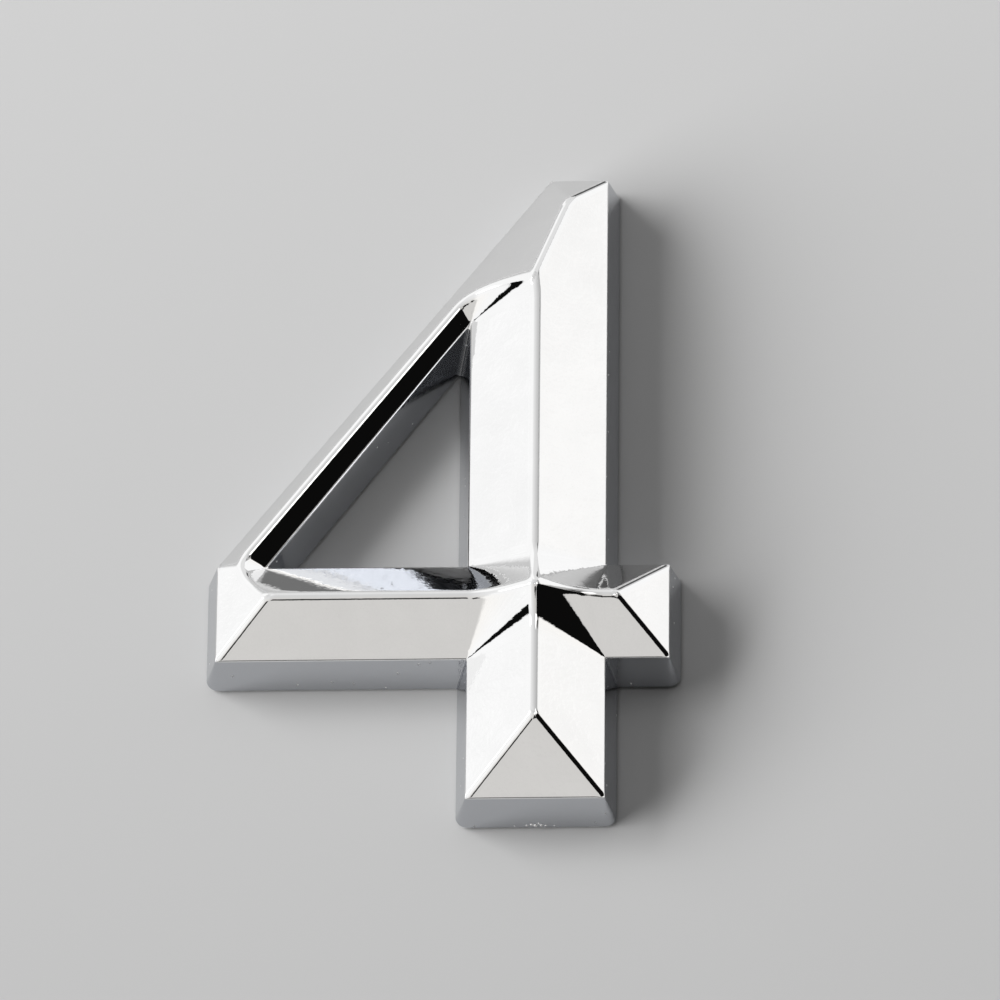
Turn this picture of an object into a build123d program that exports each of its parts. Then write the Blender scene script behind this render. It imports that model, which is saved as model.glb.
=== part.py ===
from build123d import *
import math
import os

# House numeral "4": a chrome-plated ABS shell with a die-cut foam adhesive pad let into its back.
# Millimetres. The back lies on z = 0, +Y runs up the figure, +Z out of the face.

# The figure at the sharp edge where the side walls meet the bevelled face
STEM_WIDTH = 9.40          # the upright stroke
FIGURE_HEIGHT = 48.50      # foot to top
BAR_FOOT = 10.75           # lower edge of the crossbar above the foot
BAR_WIDTH = 7.20           # the crossbar, its lower to its upper edge
RIGHT_REACH = 4.33         # the crossbar's right end past the stem
LEFT_REACH = 17.07         # the crossbar's left end past the stem
LEFT_END_HEIGHT = 7.30     # upright edge at the crossbar's left end
TOP_WIDTH = 3.91           # top edge, from the diagonal to the stem's right side
DIAGONAL_TOP = 2.32        # width of the diagonal stroke at the top corner of the triangular opening
DIAGONAL_FOOT = 2.70       # width of the diagonal stroke at the left corner of the triangular opening

# Section
WALL_HEIGHT = 2.80         # side walls, rim to the edge of the face
WALL_DRAFT = 15.0          # degrees the side walls spread towards the rim
BEVEL = 37.3               # degrees the face rises from its edges to the ridges
RIDGE_RADIUS = 0.45        # rounding along the ridges and hips of the face
SHELL = 1.50               # thickness of the plated shell

# Back
RIM = 0.90                 # width of the rim around the pad
RECESS = 1.00              # depth of the pad's seat behind the rim
PAD_THICKNESS = 1.20       # foam with adhesive on both sides
PAD_CLEARANCE = 0.15       # between the pad's cut edge and the rim
PAD_CORNER = 0.40          # rounding of the pad's outer corners
RIB = 1.00                 # ribs across the hollow, level with the seat
STEM_RIBS = (5.50, 24.50, 32.00, 39.50)   # heights of the ribs in the stem
BAR_RIBS = (-14.50, -9.00)                # places of the ribs in the crossbar

SLOPE = math.tan(math.radians(BEVEL))
SPREAD = WALL_HEIGHT * math.tan(math.radians(WALL_DRAFT))
PROUD = PAD_THICKNESS - RECESS            # the pad stands this far behind the rim
FACE_EDGE = PROUD + WALL_HEIGHT           # level of the edge of the face
ABOVE = 5.0                               # stock left above the face's edge for the bevels
SMOOTH_JOIN = 3.0                         # degrees; faces that meet under this are one smooth surface

half = STEM_WIDTH / 2
bar_top = BAR_FOOT + BAR_WIDTH
bar_right = half + RIGHT_REACH
bar_left = half + LEFT_REACH
top_left = half - TOP_WIDTH
# The triangular opening (the counter) lies a stroke's width inside the diagonal's outer edge.
left_end_top = BAR_FOOT + LEFT_END_HEIGHT
diagonal_run = bar_left + top_left
diagonal_rise = FIGURE_HEIGHT - left_end_top
diagonal_length = math.hypot(diagonal_run, diagonal_rise)
apex_drop = DIAGONAL_TOP * diagonal_length / diagonal_run
counter_apex = left_end_top + diagonal_rise * (bar_left - half) / diagonal_run - apex_drop
corner_step = (DIAGONAL_FOOT * diagonal_length + (bar_top - left_end_top) * diagonal_run) / diagonal_rise
counter_left = corner_step - bar_left
# All points are moved so that the figure's rim is centred on the origin.
shift_x = (bar_left - bar_right) / 2
shift_y = -FIGURE_HEIGHT / 2


def at(points):
    return [(x + shift_x, y + shift_y) for x, y in points]


# Both loops run anticlockwise; the material lies left of the outline and right of the counter.
outline = at([
    (-half, 0), (half, 0), (half, BAR_FOOT), (bar_right, BAR_FOOT), (bar_right, bar_top), (half, bar_top),
    (half, FIGURE_HEIGHT), (top_left, FIGURE_HEIGHT), (-bar_left, left_end_top),
    (-bar_left, BAR_FOOT), (-half, BAR_FOOT),
])
counter = at([(-half, bar_top), (-half, counter_apex), (counter_left, bar_top)])


def turn(before, corner, after):
    """Angle by which a loop turns at a corner, anticlockwise positive, in degrees."""
    first = math.atan2(corner[1] - before[1], corner[0] - before[0])
    second = math.atan2(after[1] - corner[1], after[0] - corner[0])
    return (math.degrees(second - first) + 180) % 360 - 180


def inset(points, distance):
    """The loop with every side moved to its left by the distance."""
    moved = []
    for i, corner in enumerate(points):
        before = points[i - 1]
        after = points[(i + 1) % len(points)]
        first = (Vector(*corner) - Vector(*before)).normalized()
        second = (Vector(*after) - Vector(*corner)).normalized()
        along = distance / (1 + first.dot(second))
        left = Vector(-first.Y - second.Y, first.X + second.X) * along
        moved.append((corner[0] + left.X, corner[1] + left.Y))
    return moved


def slab(points, low, high):
    """A straight-sided block over a loop between two levels."""
    return extrude(Pos(0, 0, low) * make_face(Polyline(*points, close=True)), high - low)


def along_edge(start, end, profile):
    """A profile of (distance left of the edge, level) swept along one edge of a loop."""
    run = Vector(*end) - Vector(*start)
    left = Vector(-run.Y, run.X).normalized()
    section = make_face(Polyline(
        *[(start[0] + left.X * d, start[1] + left.Y * d, z) for d, z in profile], close=True))
    return Solid.extrude(section.face(), run)


def round_corner(corner, first_angle, sweep, profile):
    """The same profile turned about a corner of a loop, from one edge's left side to the next."""
    side = math.radians(first_angle)
    section = make_face(Polyline(
        *[(corner[0] + math.cos(side) * d, corner[1] + math.sin(side) * d, z) for d, z in profile], close=True))
    return Solid.revolve(section.face(), sweep, Axis((corner[0], corner[1], 0), (0, 0, 1)))


def roof_cutters(loops, level):
    """What a conical cutter removes as its tip follows the loops at one level: the face's bevels are left."""
    reach = ABOVE / SLOPE
    profile = [(0, level), (reach, level + ABOVE), (0, level + ABOVE)]
    tools = []
    for points in loops:
        count = len(points)
        for i, corner in enumerate(points):
            before = points[i - 1]
            after = points[(i + 1) % count]
            tools.append(along_edge(corner, after, profile))
            bend = turn(before, corner, after)
            if bend < 0:
                heading = math.degrees(math.atan2(corner[1] - before[1], corner[0] - before[0]))
                tools.append(round_corner(corner, heading + 90, bend, profile))
    return tools


def cut_roof(stock, loops, level):
    for tool in roof_cutters(loops, level):
        stock = stock - tool
    return stock


def ridges_of(solid):
    """Edges where two bevels meet at an angle; the smooth joins of a bevel and a cone are left out."""
    floor = solid.bounding_box().min.Z
    found = []
    for edge in solid.edges():
        sides = [f for f in solid.faces() if any(e.is_same(edge) for e in f.edges())]
        bend = sides[0].normal_at(edge @ 0.5).get_angle(sides[1].normal_at(edge @ 0.5))
        if bend > SMOOTH_JOIN and edge.bounding_box().max.Z > floor + RIDGE_RADIUS / 10:
            found.append(edge)
    return found


# The face: bevels rise from every edge of the figure and meet in ridges along the middle of each stroke,
# so a ridge is as high as its stroke is wide. Round each inner corner the bevels join in part of a cone.
face_loops = [outline, counter[::-1]]
block = slab(outline, FACE_EDGE, FACE_EDGE + ABOVE) - slab(counter, FACE_EDGE, FACE_EDGE + ABOVE)
roof = cut_roof(block, face_loops, FACE_EDGE).solid()
roof = fillet(ridges_of(roof), RIDGE_RADIUS)

# The side walls spread from the edge of the face to the rim; outer corners open into cones.
body = slab(outline, PROUD, FACE_EDGE) - slab(counter, PROUD, FACE_EDGE)
skirt = [(0, PROUD), (0, FACE_EDGE), (-SPREAD, PROUD)]
for points in face_loops:
    for i, corner in enumerate(points):
        before = points[i - 1]
        after = points[(i + 1) % len(points)]
        body = body + along_edge(corner, after, skirt)
        bend = turn(before, corner, after)
        if bend > 0:
            heading = math.degrees(math.atan2(corner[1] - before[1], corner[0] - before[0]))
            body = body + round_corner(corner, heading + 90, bend, skirt)

# The seat of the pad: a recess that follows the whole figure inside the rim.
seat = PROUD + RECESS
seat_inset = RIM - SPREAD
recess = slab(inset(outline, seat_inset), PROUD, seat)
recess = recess - slab(inset(counter[::-1], seat_inset)[::-1], PROUD, seat)

# The hollow behind the stem and the crossbar keeps the shell's thickness under the bevels.
# The diagonal stroke is too slim for it and stays solid.
inner = inset(outline, SHELL)
stem_left = inner[0][0]
run_x = inner[8][0] - inner[7][0]
run_y = inner[8][1] - inner[7][1]
shoulder = (stem_left, inner[7][1] + run_y * (stem_left - inner[7][0]) / run_x)
bar_inner_top = inner[4][1]
hollow_loop = inner[:8] + [shoulder, (stem_left, bar_inner_top), (inner[9][0], bar_inner_top)] + inner[9:]
spring = FACE_EDGE + SLOPE * SHELL - SHELL / math.cos(math.radians(BEVEL))
hollow = slab(hollow_loop, seat, spring) + cut_roof(slab(hollow_loop, spring, spring + ABOVE), [hollow_loop], spring)

# Ribs cross the hollow level with the seat, so the pad is held between its edges.
for height in STEM_RIBS:
    hollow = hollow - Pos(shift_x, height + shift_y, seat + ABOVE / 2) * Box(STEM_WIDTH, RIB, ABOVE)
for place in BAR_RIBS:
    hollow = hollow - Pos(place + shift_x, BAR_FOOT + BAR_WIDTH / 2 + shift_y, seat + ABOVE / 2) * Box(RIB, BAR_WIDTH, ABOVE)

numeral = body + roof - recess - hollow

# The pad: foam cut to the figure, with its cut edge clear of the rim and its back behind the rim.
pad_inset = seat_inset + PAD_CLEARANCE
pad_outline = inset(outline, pad_inset)
pad = slab(pad_outline, 0, PAD_THICKNESS)
outer_corners = []
for i, corner in enumerate(pad_outline):
    if turn(pad_outline[i - 1], corner, pad_outline[(i + 1) % len(pad_outline)]) > 0:
        outer_corners += [e for e in pad.edges().filter_by(Axis.Z)
                          if (e.center() - Vector(corner[0], corner[1], PAD_THICKNESS / 2)).length < 0.01]
pad = fillet(outer_corners, PAD_CORNER)
pad = pad - slab(inset(counter[::-1], pad_inset)[::-1], 0, PAD_THICKNESS)

os.makedirs("parts", exist_ok=True)
export_step(numeral, "parts/numeral.step")
export_step(pad, "parts/adhesive_pad.step")
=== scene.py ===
import math
import bmesh
import bpy
import numpy as np
from mathutils import Matrix, Vector
from mathutils.geometry import delaunay_2d_cdt


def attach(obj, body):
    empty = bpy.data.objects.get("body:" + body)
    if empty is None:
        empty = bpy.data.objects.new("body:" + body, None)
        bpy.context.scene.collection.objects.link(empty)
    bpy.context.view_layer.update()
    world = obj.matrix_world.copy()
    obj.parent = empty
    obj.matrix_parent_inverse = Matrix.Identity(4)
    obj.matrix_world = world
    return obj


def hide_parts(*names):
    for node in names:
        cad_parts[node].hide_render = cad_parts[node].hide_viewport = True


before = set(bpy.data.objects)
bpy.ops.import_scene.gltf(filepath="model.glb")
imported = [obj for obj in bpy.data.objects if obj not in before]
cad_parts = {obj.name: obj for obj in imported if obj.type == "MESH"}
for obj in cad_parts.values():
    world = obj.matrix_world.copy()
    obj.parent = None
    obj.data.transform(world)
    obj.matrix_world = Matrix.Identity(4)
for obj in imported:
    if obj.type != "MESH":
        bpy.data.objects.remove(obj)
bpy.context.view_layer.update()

MM = 0.001

# The figure's sizes in millimetres, as the solids have them. Across, they count from the middle of the stem, and
# up, from its foot. The outline is taken at the edge where the side walls meet the bevelled face.
HALF_STEM = 4.70        # half the width of the upright stroke
FIGURE_HEIGHT = 48.50
BAR_FOOT = 10.75        # lower edge of the crossbar
BAR_TOP = 17.95         # upper edge of the crossbar
BAR_RIGHT = 9.03        # the crossbar's ends
BAR_LEFT = 21.77
LEFT_END_TOP = 18.05    # where the diagonal starts from the crossbar's left end
TOP_LEFT = 0.79         # where it meets the top edge
DIAGONAL_TOP = 2.32     # width of the diagonal at the counter's top corner
DIAGONAL_FOOT = 2.70    # and at its left corner
RIM_LEVEL = 0.20        # levels of the rim and of the edge of the face
EDGE_LEVEL = 3.00
RIM_WIDTH = 0.90
DRAFT = math.radians(15)      # spread of the side walls
BEVEL = math.radians(37.3)    # rise of the face from its edges

# Finish of the moulding, in millimetres
RIDGE_BLEND = 0.76      # width of the rounding along the ridges of the face
EDGE_RADIUS = 0.22      # soft edge between the face and the side walls
COUNTER_RADIUS = 0.40   # the same round the counter, where it is softer
CORNER_RADIUS = 0.12    # fillet in the inner corners of the side walls
CORNER_BEAD = 0.06      # bead of thick plating that runs down those on the outside of the figure

# How the skin is divided, in millimetres unless it says so
ARC_STEPS = 6                                        # steps over a soft edge
WALL_SHARES = (0.02, 0.12, 0.35, 0.65, 0.92, 1.0)    # points down a side wall, as shares of it
CORNER_COLUMNS = 16                                  # columns round the fillet of an inner corner
BEAD_COLUMNS = 1.3                                   # columns in which the bead there falls away
COLUMN_TURN = 8                                      # degrees from column to column round an outer corner
FEWEST_COLUMNS = 4                                   # at the least, round an outer corner
NEAR_CORNER = (0.06, 0.14, 0.26, 0.42, 0.65)         # places of the columns beside an outer corner
FOOT_MARGIN = 0.15                                   # between an inner corner's fillet and the next column
COLUMN_PITCH = 0.8                                   # from column to column along the rest of a side
BORDER_GAP = 0.03                                    # from the soft edge to the face's second line of points
FINE_PITCH = 0.085                                   # between points on the rounded ridges
WIDE_PITCH = 0.26                                    # between points on the flat bevels
BORDER_CLEAR = 0.45                                  # pitches between such points and the soft edge
RIDGE_MARGIN = 1.15                                  # the fine points reach this many times past the rounding
SAME_PLACE = 1e-7                                    # points of a flat drawing nearer than this are one
SHARP_BEND = math.radians(24)                        # edges that bend more are shaded sharp

SLOPE = math.tan(BEVEL)
SPREAD = (EDGE_LEVEL - RIM_LEVEL) * math.tan(DRAFT)
SHIFT = np.array([(BAR_LEFT - BAR_RIGHT) / 2, -FIGURE_HEIGHT / 2])


def linear(code):
    """An sRGB hex colour as linear RGBA."""
    parts = [int(code[i:i + 2], 16) / 255 for i in (1, 3, 5)]
    return [c / 12.92 if c <= 0.04045 else ((c + 0.055) / 1.055) ** 2.4 for c in parts] + [1.0]


def add(tree, kind, settings=None, inputs=None):
    """One node with its settings; an input is a value or another node's output."""
    node = tree.nodes.new(kind)
    for name, value in (settings or {}).items():
        setattr(node, name, value)
    for name, value in (inputs or {}).items():
        if isinstance(value, bpy.types.NodeSocket):
            tree.links.new(value, node.inputs[name])
        else:
            node.inputs[name].default_value = value
    return node


def new_material(name):
    material = bpy.data.materials.new(name)
    material.use_nodes = True
    material.node_tree.nodes.clear()
    return material, material.node_tree


def new_piece(name, data):
    piece = bpy.data.objects.new(name, data)
    bpy.context.scene.collection.objects.link(piece)
    return piece


# Plan of the figure. Both loops run with the material on their left.

run = BAR_LEFT + TOP_LEFT
rise = FIGURE_HEIGHT - LEFT_END_TOP
length = math.hypot(run, rise)
counter_apex = LEFT_END_TOP + rise * (BAR_LEFT - HALF_STEM) / run - DIAGONAL_TOP * length / run
counter_left = (DIAGONAL_FOOT * length + (BAR_TOP - LEFT_END_TOP) * run) / rise - BAR_LEFT
outline = SHIFT + np.array([
    (-HALF_STEM, 0), (HALF_STEM, 0), (HALF_STEM, BAR_FOOT), (BAR_RIGHT, BAR_FOOT), (BAR_RIGHT, BAR_TOP),
    (HALF_STEM, BAR_TOP), (HALF_STEM, FIGURE_HEIGHT), (TOP_LEFT, FIGURE_HEIGHT), (-BAR_LEFT, LEFT_END_TOP),
    (-BAR_LEFT, BAR_FOOT), (-HALF_STEM, BAR_FOOT)])
counter = SHIFT + np.array([(counter_left, BAR_TOP), (-HALF_STEM, counter_apex), (-HALF_STEM, BAR_TOP)])
loops = [outline, counter]


def directions(loop):
    """Unit direction of the side before and the side after each corner, and which corners stand out."""
    after = np.roll(loop, -1, 0) - loop
    after /= np.linalg.norm(after, axis=1)[:, None]
    before = np.roll(after, 1, 0)
    stands_out = before[:, 0] * after[:, 1] - before[:, 1] * after[:, 0] > 0
    return before, after, stands_out


def outward(direction):
    return np.stack([direction[..., 1], -direction[..., 0]], -1)


def mitre(loop):
    """Step of each corner when every side of the loop moves outwards by one."""
    before, after, _ = directions(loop)
    step = outward(before) + outward(after)
    return step / (1 + (before * after).sum(1))[:, None]


def side_groups(loop, first):
    """A number for each side: sides that join at an inner corner share it, because their bevels run together."""
    _, _, stands_out = directions(loop)
    number, numbers = first, []
    for i in range(len(loop)):
        if i and stands_out[i]:
            number += 1
        numbers.append(number)
    return numbers


groups = [side_groups(outline, 1)]
groups.append(side_groups(counter, groups[0][-1] + 1))
group_count = groups[1][-1]


def distances(points):
    """Distance of each point to every group of sides."""
    found = np.full((len(points), group_count), np.inf)
    for loop, numbers in zip(loops, groups):
        for start, end, number in zip(loop, np.roll(loop, -1, 0), numbers):
            side = end - start
            t = np.clip(((points - start) @ side) / (side @ side), 0, 1)
            gap = np.linalg.norm(points - start - t[:, None] * side, axis=1)
            found[:, number - 1] = np.minimum(found[:, number - 1], gap)
    return found


def inside(points, loop):
    """Whether each point lies within a loop."""
    result = np.zeros(len(points), bool)
    x, y = points.T
    for (x0, y0), (x1, y1) in zip(loop, np.roll(loop, -1, 0)):
        crosses = (y0 > y) != (y1 > y)
        if y0 != y1:
            result ^= crosses & (x < (x1 - x0) * (y - y0) / (y1 - y0) + x0)
    return result


def middles(points, triangles):
    return np.array([np.mean([points[i] for i in t], axis=0) for t in triangles])


half_bend = (math.pi / 2 - DRAFT - BEVEL) / 2


def soft_edge(radius):
    """How far inside the figure's edge a soft edge begins, and its profile from there to the foot of the wall.

    Each step of the profile has the way out, the way down, the share of the soft edge that is passed, and whether
    the step is on the wall.
    """
    reach = radius * math.tan(half_bend)
    inner, inner_rise = reach * math.cos(BEVEL), reach * math.sin(BEVEL)
    profile = []
    for k in range(1, ARC_STEPS + 1):
        angle = BEVEL + 2 * half_bend * k / ARC_STEPS
        out = radius * (math.sin(angle) - math.sin(BEVEL))
        down = radius * (math.cos(BEVEL) - math.cos(angle))
        profile.append((out, -down, k / ARC_STEPS, 0.0))
    top_out, top_down, _, _ = profile[-1]
    for share in WALL_SHARES:
        out = top_out + (inner + SPREAD - top_out) * share
        down = top_down + (RIM_LEVEL - EDGE_LEVEL - inner_rise - top_down) * share
        profile.append((out, down, 1.0, 1.0))
    return inner, profile


# The skin starts flat. Each point carries how far it is to be moved to its place on the soft edge or the wall.

plan, spread, settle, wall = [], [], [], []
faces, rim_loops, face_loops = [], [], []
STRAIGHT = np.zeros(2)


def put(position, step=(0, 0, 0), settled=0.0, on_wall=0.0):
    plan.append(position)
    spread.append(step)
    settle.append(settled)
    wall.append(on_wall)
    return len(plan) - 1


def ray_at(angle):
    return np.array([math.cos(angle), math.sin(angle)])


for loop in loops:
    inner, profile = soft_edge(EDGE_RADIUS if loop is outline else COUNTER_RADIUS)
    bead_height = CORNER_BEAD if loop is outline else 0.0
    before, after, stands_out = directions(loop)
    bends = np.arccos(np.clip((before * after).sum(1), -1, 1))
    # at an inner corner the walls run together, so no column stands nearer to it than their foot reaches
    clear = (inner + SPREAD + CORNER_RADIUS) * np.tan(bends / 2) + FOOT_MARGIN
    corner_steps = mitre(loop)
    moved = loop - corner_steps * inner
    # a column has its first point, its way over the soft edge, its way past the edge and its place in a fillet
    columns = []
    for i, corner in enumerate(moved):
        first, second = outward(before[i]), outward(after[i])
        angle = math.atan2(first[1], first[0])
        if stands_out[i]:
            base = put(corner)
            steps = max(FEWEST_COLUMNS, int(math.degrees(bends[i]) / COLUMN_TURN))
            for k in range(steps + 1):
                ray = ray_at(angle + bends[i] * k / steps)
                columns.append((base, ray, ray, STRAIGHT))
        else:
            # here the soft edge begins on an arc, because round an inner corner the bevels join in a cone
            down_corner = corner_steps[i] / np.linalg.norm(corner_steps[i])
            tangent = CORNER_RADIUS * math.tan(bends[i] / 2)
            for k in range(CORNER_COLUMNS + 1):
                ray = ray_at(angle - bends[i] * k / CORNER_COLUMNS)
                fillet = CORNER_RADIUS * first - before[i] * tangent - CORNER_RADIUS * ray
                bead = bead_height * math.exp(-((k - CORNER_COLUMNS / 2) / BEAD_COLUMNS) ** 2)
                base = put(loop[i] - ray * inner)
                columns.append((base, ray, corner_steps[i], fillet + bead * down_corner))
        ahead = (i + 1) % len(moved)
        side = np.linalg.norm(moved[ahead] - corner)
        near = NEAR_CORNER if stands_out[i] else (clear[i],)
        far = NEAR_CORNER if stands_out[ahead] else (clear[ahead],)
        middle = np.linspace(near[-1], side - far[-1], max(2, int(side / COLUMN_PITCH)))[1:-1]
        for place in [*near, *middle, *(side - f for f in far[::-1])]:
            columns.append((put(corner + after[i] * place), second, second, STRAIGHT))
    rows = []
    for base, ray, past_edge, in_fillet in columns:
        row = [base]
        for out, down, settled, on_wall in profile:
            step = ray * min(out, inner) + past_edge * max(out - inner, 0.0) + in_fillet * settled
            drop = down + settled * inner * SLOPE
            row.append(put(plan[base], (step[0], step[1], drop), settled, on_wall))
        rows.append(row)
    for left_row, right_row in zip(rows, rows[1:] + rows[:1]):
        for k in range(len(profile)):
            ring = [left_row[k], left_row[k + 1], right_row[k + 1], right_row[k]]
            faces.append(list(dict.fromkeys(ring)))
    rim_loops.append([row[-1] for row in rows])
    face_loops.append(list(dict.fromkeys(row[0] for row in rows)))

# Points of the face: close together where it is rounded, wide apart where it is flat.

widest_edge, _ = soft_edge(COUNTER_RADIUS)


def lattice(pitch):
    """Points of a square lattice on the face, with how much nearer they lie to one side than to the next."""
    (left, foot), (right, top) = outline.min(0), outline.max(0)
    x = np.arange(left + pitch / 2, right, pitch)
    y = np.arange(foot + pitch / 2, top, pitch)
    points = np.stack(np.meshgrid(x, y), -1).reshape(-1, 2)
    points = points[inside(points, outline) & ~inside(points, counter)]
    gap = np.sort(distances(points), axis=1)
    clear = gap[:, 0] > widest_edge + pitch * BORDER_CLEAR
    return points[clear], gap[clear, 1] - gap[clear, 0]


fine, fine_lead = lattice(FINE_PITCH)
wide, wide_lead = lattice(WIDE_PITCH)
on_ridge = fine_lead < RIDGE_BLEND * RIDGE_MARGIN
on_bevel = wide_lead >= RIDGE_BLEND * RIDGE_MARGIN
skin_ids = []
face_points, face_edges = [], []
for ids in face_loops:
    first = len(face_points)
    face_points += [Vector(plan[i]) for i in ids]
    skin_ids += ids
    face_edges += [(first + k, first + (k + 1) % len(ids)) for k in range(len(ids))]
    # a second line close to the border keeps the bend of the soft edge out of the flat bevels
    border = np.array([plan[i] for i in ids])
    for p in border - mitre(border) * BORDER_GAP:
        skin_ids.append(put(p))
        face_points.append(Vector(p))
for p in np.concatenate([fine[on_ridge], wide[on_bevel]]):
    skin_ids.append(put(p))
    face_points.append(Vector(p))
laid, _, triangles, origin, _, _ = delaunay_2d_cdt(face_points, face_edges, [], 1, SAME_PLACE)
hole = np.array([plan[i] for i in face_loops[1]])
for triangle, in_hole in zip(triangles, inside(middles(laid, triangles), hole)):
    if not in_hole:
        faces.append([skin_ids[origin[i][0]] for i in triangle])

# The outline itself, as loose edges with the number of their group.
edges, edge_groups = [], []
for loop, numbers in zip(loops, groups):
    ids = [put(p) for p in loop]
    for k, number in enumerate(numbers):
        edges.append((ids[k], ids[(k + 1) % len(ids)]))
        edge_groups.append(number)

flat_skin = bpy.data.meshes.new("flat_skin")
flat_skin.from_pydata([(p[0] * MM, p[1] * MM, 0.0) for p in plan], edges, faces)
flat_skin.attributes.new("spread", "FLOAT_VECTOR", "POINT").data.foreach_set(
    "vector", (np.array(spread, float) * MM).ravel().astype(np.float32))
flat_skin.attributes.new("settle", "FLOAT", "POINT").data.foreach_set("value", np.array(settle, np.float32))
flat_skin.attributes.new("side_wall", "FLOAT", "POINT").data.foreach_set("value", np.array(wall, np.float32))
numbering = {tuple(sorted(e)): g for e, g in zip(edges, edge_groups)}
flat_skin.attributes.new("side_group", "INT", "EDGE").data.foreach_set(
    "value", [numbering.get(tuple(sorted(e.vertices)), 0) for e in flat_skin.edges])

# Rule of the face: it rises with the distance to the nearest side of the figure, so ridges run along the middle
# of each stroke. Near a ridge the smaller distance dips by a square law, which rounds the ridge like a fillet. The
# ways from the two nearest sides keep that rounding equally wide on ridges and on hips.


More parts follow.
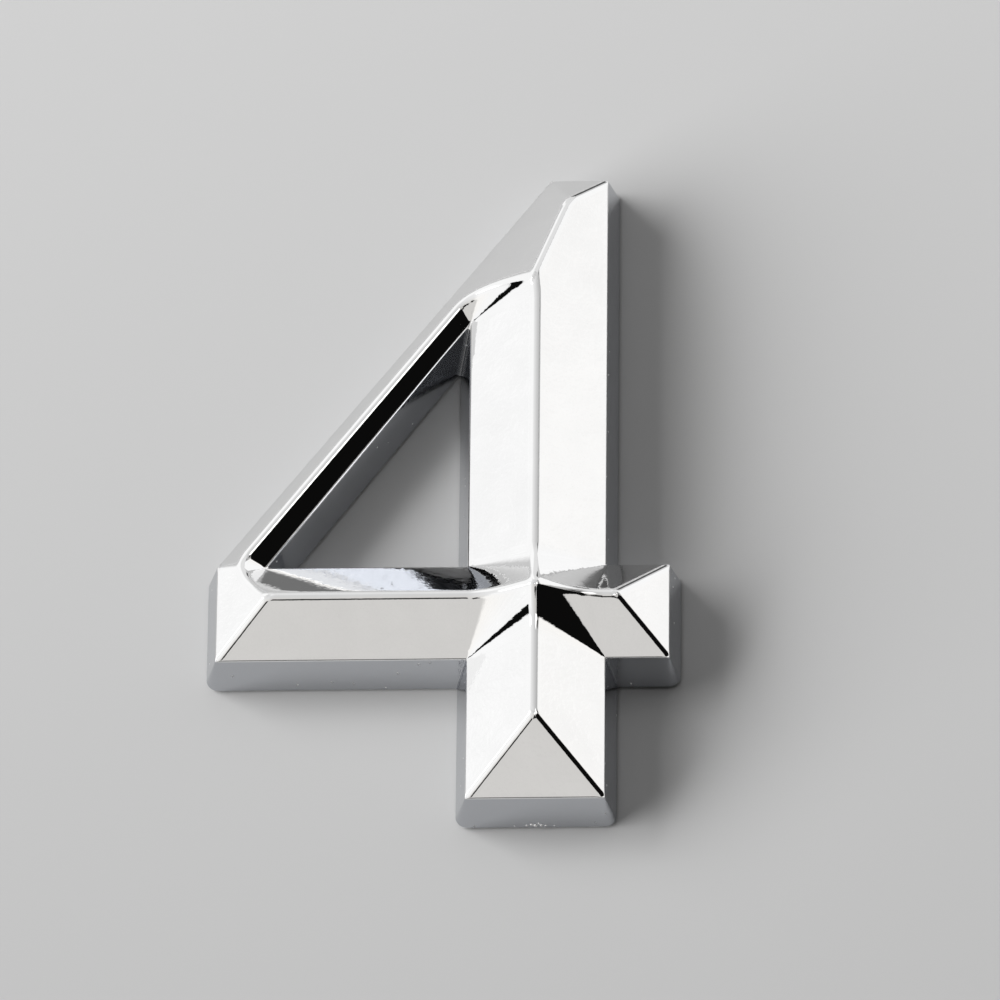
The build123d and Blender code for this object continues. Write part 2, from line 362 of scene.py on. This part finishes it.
def bevel_rule(material):
    tree = bpy.data.node_groups.new("bevel_rule", "GeometryNodeTree")
    tree.interface.new_socket("Geometry", in_out="INPUT", socket_type="NodeSocketGeometry")
    for name in ("Edge level", "Slope", "Ridge rounding"):
        tree.interface.new_socket(name, in_out="INPUT", socket_type="NodeSocketFloat")
    tree.interface.new_socket("Side groups", in_out="INPUT", socket_type="NodeSocketInt")
    tree.interface.new_socket("Geometry", in_out="OUTPUT", socket_type="NodeSocketGeometry")
    given = add(tree, "NodeGroupInput").outputs

    # the loose edges of the outline are what distances are taken to, and go no further
    number = add(tree, "GeometryNodeInputNamedAttribute", {"data_type": "INT"}, {"Name": "side_group"}).outputs[0]
    is_side = add(tree, "FunctionNodeCompare", {"data_type": "INT", "operation": "GREATER_THAN"},
                  {2: number, 3: 0}).outputs[0]
    split = add(tree, "GeometryNodeSeparateGeometry", {"domain": "EDGE"},
                {"Geometry": given["Geometry"], "Selection": is_side}).outputs

    # one round for each group of sides
    start = add(tree, "GeometryNodeRepeatInput")
    stop = add(tree, "GeometryNodeRepeatOutput")
    start.pair_with_output(stop)
    stop.repeat_items.clear()
    stop.repeat_items.new("FLOAT", "Distance")
    stop.repeat_items.new("VECTOR", "Heading")
    tree.links.new(given["Side groups"], start.inputs["Iterations"])
    start.inputs["Distance"].default_value = 1.0    # a metre, farther than any side
    group = add(tree, "ShaderNodeMath", {"operation": "ADD"}, {0: start.outputs["Iteration"], 1: 1.0}).outputs[0]
    nearest = add(tree, "GeometryNodeProximity", {"target_element": "EDGES"},
                  {"Geometry": split["Selection"], "Group ID": number, "Sample Group ID": group}).outputs
    near, so_far = nearest["Distance"], start.outputs["Distance"]
    here = add(tree, "GeometryNodeInputPosition").outputs[0]
    away = add(tree, "ShaderNodeVectorMath", {"operation": "SUBTRACT"},
               {0: here, 1: nearest["Position"]}).outputs[0]
    away = add(tree, "ShaderNodeVectorMath", {"operation": "NORMALIZE"}, {0: away}).outputs[0]
    opposed = add(tree, "ShaderNodeVectorMath", {"operation": "DISTANCE"},
                  {0: away, 1: start.outputs["Heading"]}).outputs["Value"]
    nearer = add(tree, "FunctionNodeCompare", {"operation": "LESS_THAN"}, {0: near, 1: so_far}).outputs[0]
    leading = add(tree, "GeometryNodeSwitch", {"input_type": "VECTOR"},
                  {0: nearer, 1: start.outputs["Heading"], 2: away}).outputs[0]
    tree.links.new(leading, stop.inputs["Heading"])

    # the dip: (width - difference)^2 / (4 width), with no division by nothing where a side meets itself
    half_width = add(tree, "ShaderNodeMath", {"operation": "MULTIPLY"},
                     {0: given["Ridge rounding"], 1: 0.5}).outputs[0]
    width = add(tree, "ShaderNodeMath", {"operation": "MULTIPLY_ADD"},
                {0: half_width, 1: opposed, 2: 1e-7}).outputs[0]
    lower = add(tree, "ShaderNodeMath", {"operation": "MINIMUM"}, {0: so_far, 1: near}).outputs[0]
    apart = add(tree, "ShaderNodeMath", {"operation": "SUBTRACT"}, {0: so_far, 1: near}).outputs[0]
    apart = add(tree, "ShaderNodeMath", {"operation": "ABSOLUTE"}, {0: apart}).outputs[0]
    within = add(tree, "ShaderNodeMath", {"operation": "SUBTRACT"}, {0: width, 1: apart}).outputs[0]
    within = add(tree, "ShaderNodeMath", {"operation": "MAXIMUM"}, {0: within, 1: 0.0}).outputs[0]
    square = add(tree, "ShaderNodeMath", {"operation": "MULTIPLY"}, {0: within, 1: within}).outputs[0]
    four_widths = add(tree, "ShaderNodeMath", {"operation": "MULTIPLY"}, {0: width, 1: 4.0}).outputs[0]
    dip = add(tree, "ShaderNodeMath", {"operation": "DIVIDE"}, {0: square, 1: four_widths}).outputs[0]
    least = add(tree, "ShaderNodeMath", {"operation": "SUBTRACT"}, {0: lower, 1: dip}).outputs[0]
    tree.links.new(least, stop.inputs["Distance"])

    # points of the soft edge and the wall leave the face's height by degrees and take their own step
    height = add(tree, "ShaderNodeMath", {"operation": "MULTIPLY_ADD"},
                 {0: stop.outputs["Distance"], 1: given["Slope"], 2: given["Edge level"]}).outputs[0]
    settled = add(tree, "GeometryNodeInputNamedAttribute", {"data_type": "FLOAT"}, {"Name": "settle"}).outputs[0]
    level = add(tree, "ShaderNodeMix", {"data_type": "FLOAT"},
                {0: settled, 2: height, 3: given["Edge level"]}).outputs[0]
    lift = add(tree, "ShaderNodeCombineXYZ", None, {2: level}).outputs[0]
    step = add(tree, "GeometryNodeInputNamedAttribute", {"data_type": "FLOAT_VECTOR"},
               {"Name": "spread"}).outputs[0]
    offset = add(tree, "ShaderNodeVectorMath", {"operation": "ADD"}, {0: lift, 1: step}).outputs[0]
    shaped = add(tree, "GeometryNodeSetPosition", None,
                 {"Geometry": split["Inverted"], "Offset": offset}).outputs[0]
    whole = add(tree, "GeometryNodeRealizeInstances", None, {"Geometry": shaped}).outputs[0]
    dressed = add(tree, "GeometryNodeSetMaterial", None, {"Geometry": whole, "Material": material}).outputs[0]
    add(tree, "NodeGroupOutput", None, {"Geometry": dressed})
    return tree


# Bright chrome plated on moulded ABS: a grey-white mirror. Plating on plastic keeps the moulding's faint waves and
# fine orange peel, so the edges of what it mirrors run ragged. The side walls came from a duller part of the mould:
# there the plating is satin and greyer, with bright specks of plating dust. Sizes in millimetres.
WAVE, WAVE_DEPTH = 2.4, 0.010
PEEL, FACE_PEEL_DEPTH, WALL_PEEL_DEPTH = 0.42, 0.004, 0.010
SPECK_PITCH, SPECK_HEIGHT = 0.75, 0.04
SPECK_CORE, SPECK_EDGE = 0.06, 0.12    # radii of a speck, as shares of the pitch
SPECK_CHANCE = 0.28                    # share of the places that have one
POLISHED, SATIN_LOW, SATIN_HIGH, SPECK_DULLING = 0.02, 0.07, 0.13, 0.5    # roughness

chrome, tree = new_material("chrome_plated_abs")
place = add(tree, "ShaderNodeTexCoord").outputs["Object"]
on_wall = add(tree, "ShaderNodeAttribute", {"attribute_name": "side_wall"}).outputs["Fac"]
waves = add(tree, "ShaderNodeTexNoise", None,
            {"Vector": place, "Scale": 1 / (WAVE * MM), "Detail": 1.0}).outputs["Fac"]
peel = add(tree, "ShaderNodeTexNoise", None,
           {"Vector": place, "Scale": 1 / (PEEL * MM), "Detail": 2.0}).outputs["Fac"]
dust = add(tree, "ShaderNodeTexVoronoi", None, {"Vector": place, "Scale": 1 / (SPECK_PITCH * MM)}).outputs
speck = add(tree, "ShaderNodeMapRange", None,
            {"Value": dust["Distance"], "From Min": SPECK_CORE, "From Max": SPECK_EDGE,
             "To Min": 1.0, "To Max": 0.0}).outputs[0]
chance = add(tree, "ShaderNodeSeparateColor", None, {"Color": dust["Color"]}).outputs["Red"]
chosen = add(tree, "ShaderNodeMath", {"operation": "GREATER_THAN"}, {0: chance, 1: 1 - SPECK_CHANCE}).outputs[0]
speck = add(tree, "ShaderNodeMath", {"operation": "MULTIPLY"}, {0: speck, 1: chosen}).outputs[0]
speck = add(tree, "ShaderNodeMath", {"operation": "MULTIPLY"}, {0: speck, 1: on_wall}).outputs[0]
wavy = add(tree, "ShaderNodeBump", None,
           {"Strength": 1.0, "Distance": WAVE_DEPTH * MM, "Height": waves}).outputs[0]
depth = add(tree, "ShaderNodeMapRange", None,
            {"Value": on_wall, "To Min": FACE_PEEL_DEPTH * MM, "To Max": WALL_PEEL_DEPTH * MM}).outputs[0]
wavy = add(tree, "ShaderNodeBump", None,
           {"Strength": 1.0, "Distance": depth, "Height": peel, "Normal": wavy}).outputs[0]
wavy = add(tree, "ShaderNodeBump", None,
           {"Strength": 1.0, "Distance": SPECK_HEIGHT * MM, "Height": speck, "Normal": wavy}).outputs[0]
satin = add(tree, "ShaderNodeMapRange", None, {"Value": peel, "To Min": SATIN_LOW, "To Max": SATIN_HIGH}).outputs[0]
rough = add(tree, "ShaderNodeMix", {"data_type": "FLOAT"}, {0: on_wall, 2: POLISHED, 3: satin}).outputs[0]
rough = add(tree, "ShaderNodeMath", {"operation": "MULTIPLY_ADD"},
            {0: speck, 1: SPECK_DULLING, 2: rough}).outputs[0]
bright = add(tree, "ShaderNodeMix", {"data_type": "RGBA"},
             {0: waves, 6: linear("#ebebeb"), 7: linear("#f1f1f1")}).outputs[2]
tint = add(tree, "ShaderNodeMix", {"data_type": "RGBA"},
           {0: on_wall, 6: bright, 7: linear("#c2c4c8")}).outputs[2]
tint = add(tree, "ShaderNodeMix", {"data_type": "RGBA"}, {0: speck, 6: tint, 7: linear("#f8f8f8")}).outputs[2]
shine = add(tree, "ShaderNodeBsdfPrincipled", None,
            {"Base Color": tint, "Metallic": 1.0, "Roughness": rough, "Normal": wavy}).outputs[0]
add(tree, "ShaderNodeOutputMaterial", None, {"Surface": shine})

# Closed-cell foam tape: dull off-white with fine cells. Sizes in millimetres.
CELL, CELL_DEPTH = 0.35, 0.05

foam, tree = new_material("foam_tape")
place = add(tree, "ShaderNodeTexCoord").outputs["Object"]
cells = add(tree, "ShaderNodeTexVoronoi", None, {"Vector": place, "Scale": 1 / (CELL * MM)}).outputs["Distance"]
cell_bump = add(tree, "ShaderNodeBump", None,
                {"Strength": 0.6, "Distance": CELL_DEPTH * MM, "Height": cells}).outputs[0]
shade = add(tree, "ShaderNodeMix", {"data_type": "RGBA"},
            {0: cells, 6: linear("#dcdbd5"), 7: linear("#f0efea")}).outputs[2]
dull = add(tree, "ShaderNodeBsdfPrincipled", None,
           {"Base Color": shade, "Roughness": 0.75, "Normal": cell_bump}).outputs[0]
add(tree, "ShaderNodeOutputMaterial", None, {"Surface": dull})

# The skin of the numeral.
flat_piece = new_piece("flat_skin", flat_skin)
shaper = flat_piece.modifiers.new("bevel_rule", "NODES")
shaper.node_group = bevel_rule(chrome)
rule_sizes = {"Edge level": EDGE_LEVEL * MM, "Slope": SLOPE, "Ridge rounding": RIDGE_BLEND * MM,
              "Side groups": group_count}
for socket in shaper.node_group.interface.items_tree:
    if socket.in_out == "INPUT" and socket.name in rule_sizes:
        shaper[socket.identifier] = rule_sizes[socket.name]
bpy.context.view_layer.update()
shaped = flat_piece.evaluated_get(bpy.context.evaluated_depsgraph_get())
skin = bpy.data.meshes.new_from_object(shaped)
bpy.data.objects.remove(flat_piece)

# Behind the rim the moulding keeps the solid's own seat, hollow and ribs. What the skin stands for is cut away from
# a copy of the solid, and of the rest the part that hangs together is kept.
RIM_Z = RIM_LEVEL * MM
FACES_FORWARD, FACES_BACK = 0.1, -0.9    # upward part of a face's normal


def gives_way(face):
    """Whether a face of the solid is replaced: all that faces forward or outward, and the flat rim."""
    on_rim = abs(face.calc_center_median().z - RIM_Z) < 0.02 * MM
    return face.normal.z > FACES_FORWARD or (face.normal.z < FACES_BACK and on_rim)


back = bmesh.new()
back.from_mesh(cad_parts["numeral"].data)
bmesh.ops.remove_doubles(back, verts=back.verts, dist=1e-4 * MM)
back.normal_update()
bmesh.ops.delete(back, geom=[f for f in back.faces if gives_way(f)], context="FACES")
reached = {max(back.faces, key=lambda f: f.calc_area())}
waiting = list(reached)
while waiting:
    for edge in waiting.pop().edges:
        for f in edge.link_faces:
            if f not in reached:
                reached.add(f)
                waiting.append(f)
bmesh.ops.delete(back, geom=[f for f in back.faces if f not in reached], context="FACES")
gaps = [e for e in back.edges if e.is_boundary and max(v.co.z for v in e.verts) > RIM_Z + 0.1 * MM]
bmesh.ops.holes_fill(back, edges=gaps, sides=3)
back_mesh = bpy.data.meshes.new("back")
back.to_mesh(back_mesh)
back.free()

# The rim is laid between the foot of the walls and the seat of the pad.


def foot_line(ids):
    return np.array([np.array(plan[i]) + np.array(spread[i][:2]) for i in ids])


def seat_line(loop):
    return loop - mitre(loop) * (RIM_WIDTH - SPREAD)


work = bmesh.new()
work.from_mesh(skin)
skin_count = len(work.verts)
work.from_mesh(back_mesh)
bpy.data.meshes.remove(back_mesh)
rim_points, rim_edges = [], []
for loop, ids in zip(loops, rim_loops):
    for ring in (foot_line(ids), seat_line(loop)):
        first = len(rim_points)
        rim_points += [Vector(p) for p in ring]
        rim_edges += [(first + k, first + (k + 1) % len(ring)) for k in range(len(ring))]
laid, _, triangles, _, _, _ = delaunay_2d_cdt(rim_points, rim_edges, [], 1, SAME_PLACE)
centres = middles(laid, triangles)
in_seat = inside(centres, seat_line(outline)) & ~inside(centres, seat_line(counter))
in_counter = inside(centres, foot_line(rim_loops[1]))
rim_verts = [work.verts.new((p[0] * MM, p[1] * MM, RIM_Z)) for p in laid]
for triangle, open_there in zip(triangles, in_seat | in_counter):
    if not open_there:
        work.faces.new([rim_verts[i] for i in triangle[::-1]])
dull_layer = work.verts.layers.float["side_wall"]
for vert in list(work.verts)[skin_count:]:
    vert[dull_layer] = 1.0
bmesh.ops.remove_doubles(work, verts=work.verts, dist=0.002 * MM)
bmesh.ops.delete(work, geom=[v for v in work.verts if not v.link_faces], context="VERTS")

# Where the figure was broken off its moulding tree, small lumps of plating are left at the rim under the foot: the
# place of each to the right of the stem's middle, its height above the rim and its radius, in millimetres.
LUMPS = ((-0.62, 0.16, 0.10), (-0.30, 0.24, 0.13), (-0.04, 0.16, 0.16), (0.20, 0.36, 0.09),
         (0.36, 0.18, 0.13), (0.66, 0.14, 0.09), (1.25, 0.12, 0.06), (-1.45, 0.13, 0.06))
WALL_LEAN = 0.27            # the wall goes back this much for each millimetre up
LUMP_FORM = (1.0, 0.7, 0.9)
for aside, up, size in LUMPS:
    spot = Vector((SHIFT[0] + aside, SHIFT[1] - SPREAD + WALL_LEAN * up, RIM_LEVEL + up)) * MM
    form = Matrix.Diagonal([part * size * MM for part in LUMP_FORM] + [1.0])
    bmesh.ops.create_icosphere(work, subdivisions=2, radius=1.0, matrix=Matrix.Translation(spot) @ form)
for f in work.faces:
    f.smooth = True
work.to_mesh(skin)
work.free()
skin.set_sharp_from_angle(angle=SHARP_BEND)
numeral = new_piece("numeral_plated", skin)
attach(numeral, "root")
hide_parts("numeral")

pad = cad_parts["adhesive_pad"]
for pad_slot in pad.material_slots:
    pad_slot.material = foam

# Pale grey card under the figure: matt, with painted light: its colour gets a little lighter towards the back, as
# if more light fell there.
CARD_HALF = 0.8                          # metres
PAINTED_LIGHT_FRONT, PAINTED_LIGHT_BACK = -60.0, 80.0      # millimetres between which the painted light makes it lighter

floor_mesh = bpy.data.meshes.new("floor")
floor_mesh.from_pydata([(x * CARD_HALF, y * CARD_HALF, 0) for x, y in ((-1, -1), (1, -1), (1, 1), (-1, 1))],
                       [], [(0, 1, 2, 3)])
floor = new_piece("floor", floor_mesh)
paper, tree = new_material("pale_grey_card_with_painted_light")
place = add(tree, "ShaderNodeTexCoord").outputs["Object"]
# painted light: the card's colour goes from darker at the front to lighter at the back
painted_light_share = add(tree, "ShaderNodeSeparateXYZ", None, {0: place}).outputs[1]
painted_light_share = add(tree, "ShaderNodeMapRange", None,
               {"Value": painted_light_share, "From Min": PAINTED_LIGHT_FRONT * MM, "From Max": PAINTED_LIGHT_BACK * MM}).outputs[0]
shade = add(tree, "ShaderNodeMix", {"data_type": "RGBA"},
            {0: painted_light_share, 6: linear("#c7c7c7"), 7: linear("#d5d5d5")}).outputs[2]
card = add(tree, "ShaderNodeBsdfPrincipled", None,
           {"Base Color": shade, "Roughness": 0.9, "Specular IOR Level": 0.1}).outputs[0]
add(tree, "ShaderNodeOutputMaterial", None, {"Surface": card})
floor_mesh.materials.append(paper)

# Lamps: a long soft box at the left, its far end raised, does most of the work, and small ones behind and at the
# right fill. They light matt surfaces only, because the plating mirrors the room's panels in their place. Each has
# its azimuth and height in degrees, distance, width and height in metres, lean in degrees and power in watts.
LAMPS = (
    ("key_soft_box", 180, 24, 2.20, 3.50, 0.86, -13, 120.0),
    ("back_soft_box", 112, 44, 0.35, 0.36, 0.36, 0, 0.27),
    ("right_soft_box", 40, 38, 0.45, 0.36, 0.36, 0, 0.20),
)
for name, azimuth, height, distance, wide, tall, lean, power in LAMPS:
    soft_box = bpy.data.lights.new(name, "AREA")
    soft_box.shape = "RECTANGLE"
    soft_box.size, soft_box.size_y, soft_box.energy = wide, tall, power
    lamp = new_piece(name, soft_box)
    a, h = math.radians(azimuth), math.radians(height)
    aim = Vector((math.cos(a) * math.cos(h), math.sin(a) * math.cos(h), math.sin(h)))
    facing = aim.to_track_quat("Z", "Y").to_matrix().to_4x4()
    leaning = Matrix.Rotation(math.radians(lean), 4, "Z")
    lamp.matrix_world = Matrix.Translation(aim * distance) @ facing @ leaning
    lamp.visible_camera = False
    lamp.visible_glossy = False

# Room round the object, which the plating mirrors. It is lightest at the left and greyer to the right, with panels
# laid over it by azimuth and height. Azimuths count from the right, or for the panels at the left from the left,
# so that none lies across the place where the count starts again. Matt surfaces get a plain even fill from it.
ROOM_LEFT, ROOM_RIGHT = 1.00, 0.52    # brightness
EVEN_FILL = 0.05
CLOUD_SCALE, CLOUD_LOW, CLOUD_HIGH = 60.0, 0.92, 1.08

world = bpy.data.worlds.new("studio")
bpy.context.scene.world = world
world.use_nodes = True
tree = world.node_tree
tree.nodes.clear()
ray = add(tree, "ShaderNodeTexCoord").outputs["Generated"]
axes = add(tree, "ShaderNodeSeparateXYZ", None, {0: ray}).outputs
turned = [add(tree, "ShaderNodeMath", {"operation": "MULTIPLY"}, {0: a, 1: -1.0}).outputs[0] for a in axes[:2]]
around = add(tree, "ShaderNodeMath", {"operation": "ARCTAN2"}, {0: axes[1], 1: axes[0]}).outputs[0]
from_left = add(tree, "ShaderNodeMath", {"operation": "ARCTAN2"}, {0: turned[1], 1: turned[0]}).outputs[0]
upward = add(tree, "ShaderNodeMath", {"operation": "ARCSINE"}, {0: axes[2]}).outputs[0]

# Each panel: which count of azimuths, first and last azimuth, lower and upper height, brightness, softness of its
# edges; in degrees. A later panel covers an earlier one.
PANELS = (
    # behind: a pale wall, a white screen at its left and a grey strip along its foot
    (around, 60, 126, 12, 52, 0.86, 8.0),
    (around, 102, 136, 8, 42, 1.12, 6.0),
    (around, 66, 142, -20, 9, 0.66, 5.0),
    # in front: a grey wall, nearly black below, where the camera stands
    (around, -140, -27, -20, 60, 0.72, 3.0),
    (around, -140, -27, -20, 29, 0.12, 3.0),
    # right: a black opening, wider at its top
    (around, -27, 14, 20, 62, 0.004, 1.0),
    (around, -44, -20, 49, 62, 0.004, 1.0),
    # behind at the right: small dark gaps
    (around, 68, 79, 2, 12, 0.10, 1.0),
    (around, 44, 54, 37, 45, 0.22, 1.5),
    (around, 18, 34, 43, 57, 0.02, 1.0),
    # right: a bright screen high up and a white one low down
    (around, 12, 50, 58, 74, 1.90, 2.0),
    (around, 14, 60, -20, 33, 1.10, 1.0),
    # left: two long white screens, with a lamp in the nearer one, a lamp over the farther one and a black gap
    # between them
    (from_left, -46, -10.5, 2, 36, 1.10, 4.0),
    (from_left, -3, 50, 0, 52, 1.10, 5.0),
    (from_left, 9, 19, 13, 27, 3.00, 2.0),
    (from_left, -23, -12, 30, 43, 3.30, 1.5),
    (from_left, -11, -2.6, 12, 26.3, 0.004, 0.6),
    # in front, high up: black gaps over the camera
    (around, -127, -110, 48.5, 57, 0.03, 0.8),
    (around, -86, -40, 57.5, 75, 0.02, 1.0),
    (around, -101, -83, 55, 68, 0.03, 2.0),
)
room = add(tree, "ShaderNodeMapRange", None,
           {"Value": axes[0], "From Min": -0.8, "From Max": 0.6,
            "To Min": ROOM_LEFT, "To Max": ROOM_RIGHT}).outputs[0]
for side, first, last, lower, upper, brightness, soft in PANELS:
    cover = None
    for value, edge, sign in ((side, first, 1), (side, last, -1), (upward, lower, 1), (upward, upper, -1)):
        start, stop = math.radians(edge - soft * sign), math.radians(edge + soft * sign)
        part = add(tree, "ShaderNodeMapRange", {"interpolation_type": "SMOOTHSTEP"},
                   {"Value": value, "From Min": start, "From Max": stop}).outputs[0]
        if cover is not None:
            part = add(tree, "ShaderNodeMath", {"operation": "MULTIPLY"}, {0: cover, 1: part}).outputs[0]
        cover = part
    room = add(tree, "ShaderNodeMix", {"data_type": "FLOAT"}, {0: cover, 2: room, 3: brightness}).outputs[0]
# no panel is quite even
cloud = add(tree, "ShaderNodeTexNoise", None, {"Vector": ray, "Scale": CLOUD_SCALE, "Detail": 2.0}).outputs["Fac"]
cloud = add(tree, "ShaderNodeMapRange", None,
            {"Value": cloud, "To Min": CLOUD_LOW, "To Max": CLOUD_HIGH}).outputs[0]
room = add(tree, "ShaderNodeMath", {"operation": "MULTIPLY"}, {0: room, 1: cloud}).outputs[0]
path = add(tree, "ShaderNodeLightPath").outputs
seen = add(tree, "ShaderNodeMath", {"operation": "MAXIMUM"},
           {0: path["Is Camera Ray"], 1: path["Is Glossy Ray"]}).outputs[0]
seen = add(tree, "ShaderNodeMath", {"operation": "MAXIMUM"}, {0: seen, 1: path["Is Transmission Ray"]}).outputs[0]
strength = add(tree, "ShaderNodeMix", {"data_type": "FLOAT"}, {0: seen, 2: EVEN_FILL, 3: room}).outputs[0]
# the room is a little warmer in front and at the right
warmer = add(tree, "ShaderNodeMath", {"operation": "MULTIPLY_ADD"}, {0: axes[0], 1: 0.5, 2: turned[1]}).outputs[0]
warmer = add(tree, "ShaderNodeMapRange", None, {"Value": warmer, "From Min": -0.25, "From Max": 0.25}).outputs[0]
tone = add(tree, "ShaderNodeMix", {"data_type": "RGBA"},
           {0: warmer, 6: linear("#ffffff"), 7: linear("#fffdfa")}).outputs[2]
glow = add(tree, "ShaderNodeBackground", None, {"Color": tone, "Strength": strength}).outputs[0]
add(tree, "ShaderNodeOutputWorld", None, {"Surface": glow})

# Camera: in front and a little to the right, high up and far off with a long lens.
CAMERA_SIDE, CAMERA_HEIGHT, CAMERA_ROLL = math.radians(4.2479), math.radians(60.2155), math.radians(-4.2888)
CAMERA_DISTANCE = 0.8913              # metres
CAMERA_TARGET = (-2.6703, 24.7247)    # millimetres from the foot of the stem
SENSOR, LENS_RATIO = 36.0, 13.0059    # width of the sensor, and the focal length in such widths
target = Vector((CAMERA_TARGET[0] + SHIFT[0], CAMERA_TARGET[1] + SHIFT[1], RIM_LEVEL)) * MM
toward = Vector((math.sin(CAMERA_SIDE) * math.cos(CAMERA_HEIGHT), -math.cos(CAMERA_SIDE) * math.cos(CAMERA_HEIGHT),
                 math.sin(CAMERA_HEIGHT)))
level = Vector((0, 0, 1)).cross(toward).normalized()
upright = toward.cross(level)
right = math.cos(CAMERA_ROLL) * level + math.sin(CAMERA_ROLL) * upright
top = -math.sin(CAMERA_ROLL) * level + math.cos(CAMERA_ROLL) * upright
lens = bpy.data.cameras.new("camera")
lens.sensor_width = SENSOR
lens.sensor_fit = "HORIZONTAL"
lens.lens = SENSOR * LENS_RATIO
camera = new_piece("camera", lens)
facing = Matrix((right, top, toward)).transposed().to_4x4()
camera.matrix_world = Matrix.Translation(target + toward * CAMERA_DISTANCE) @ facing
bpy.context.scene.camera = camera
bpy.context.scene.view_settings.view_transform = "Standard"
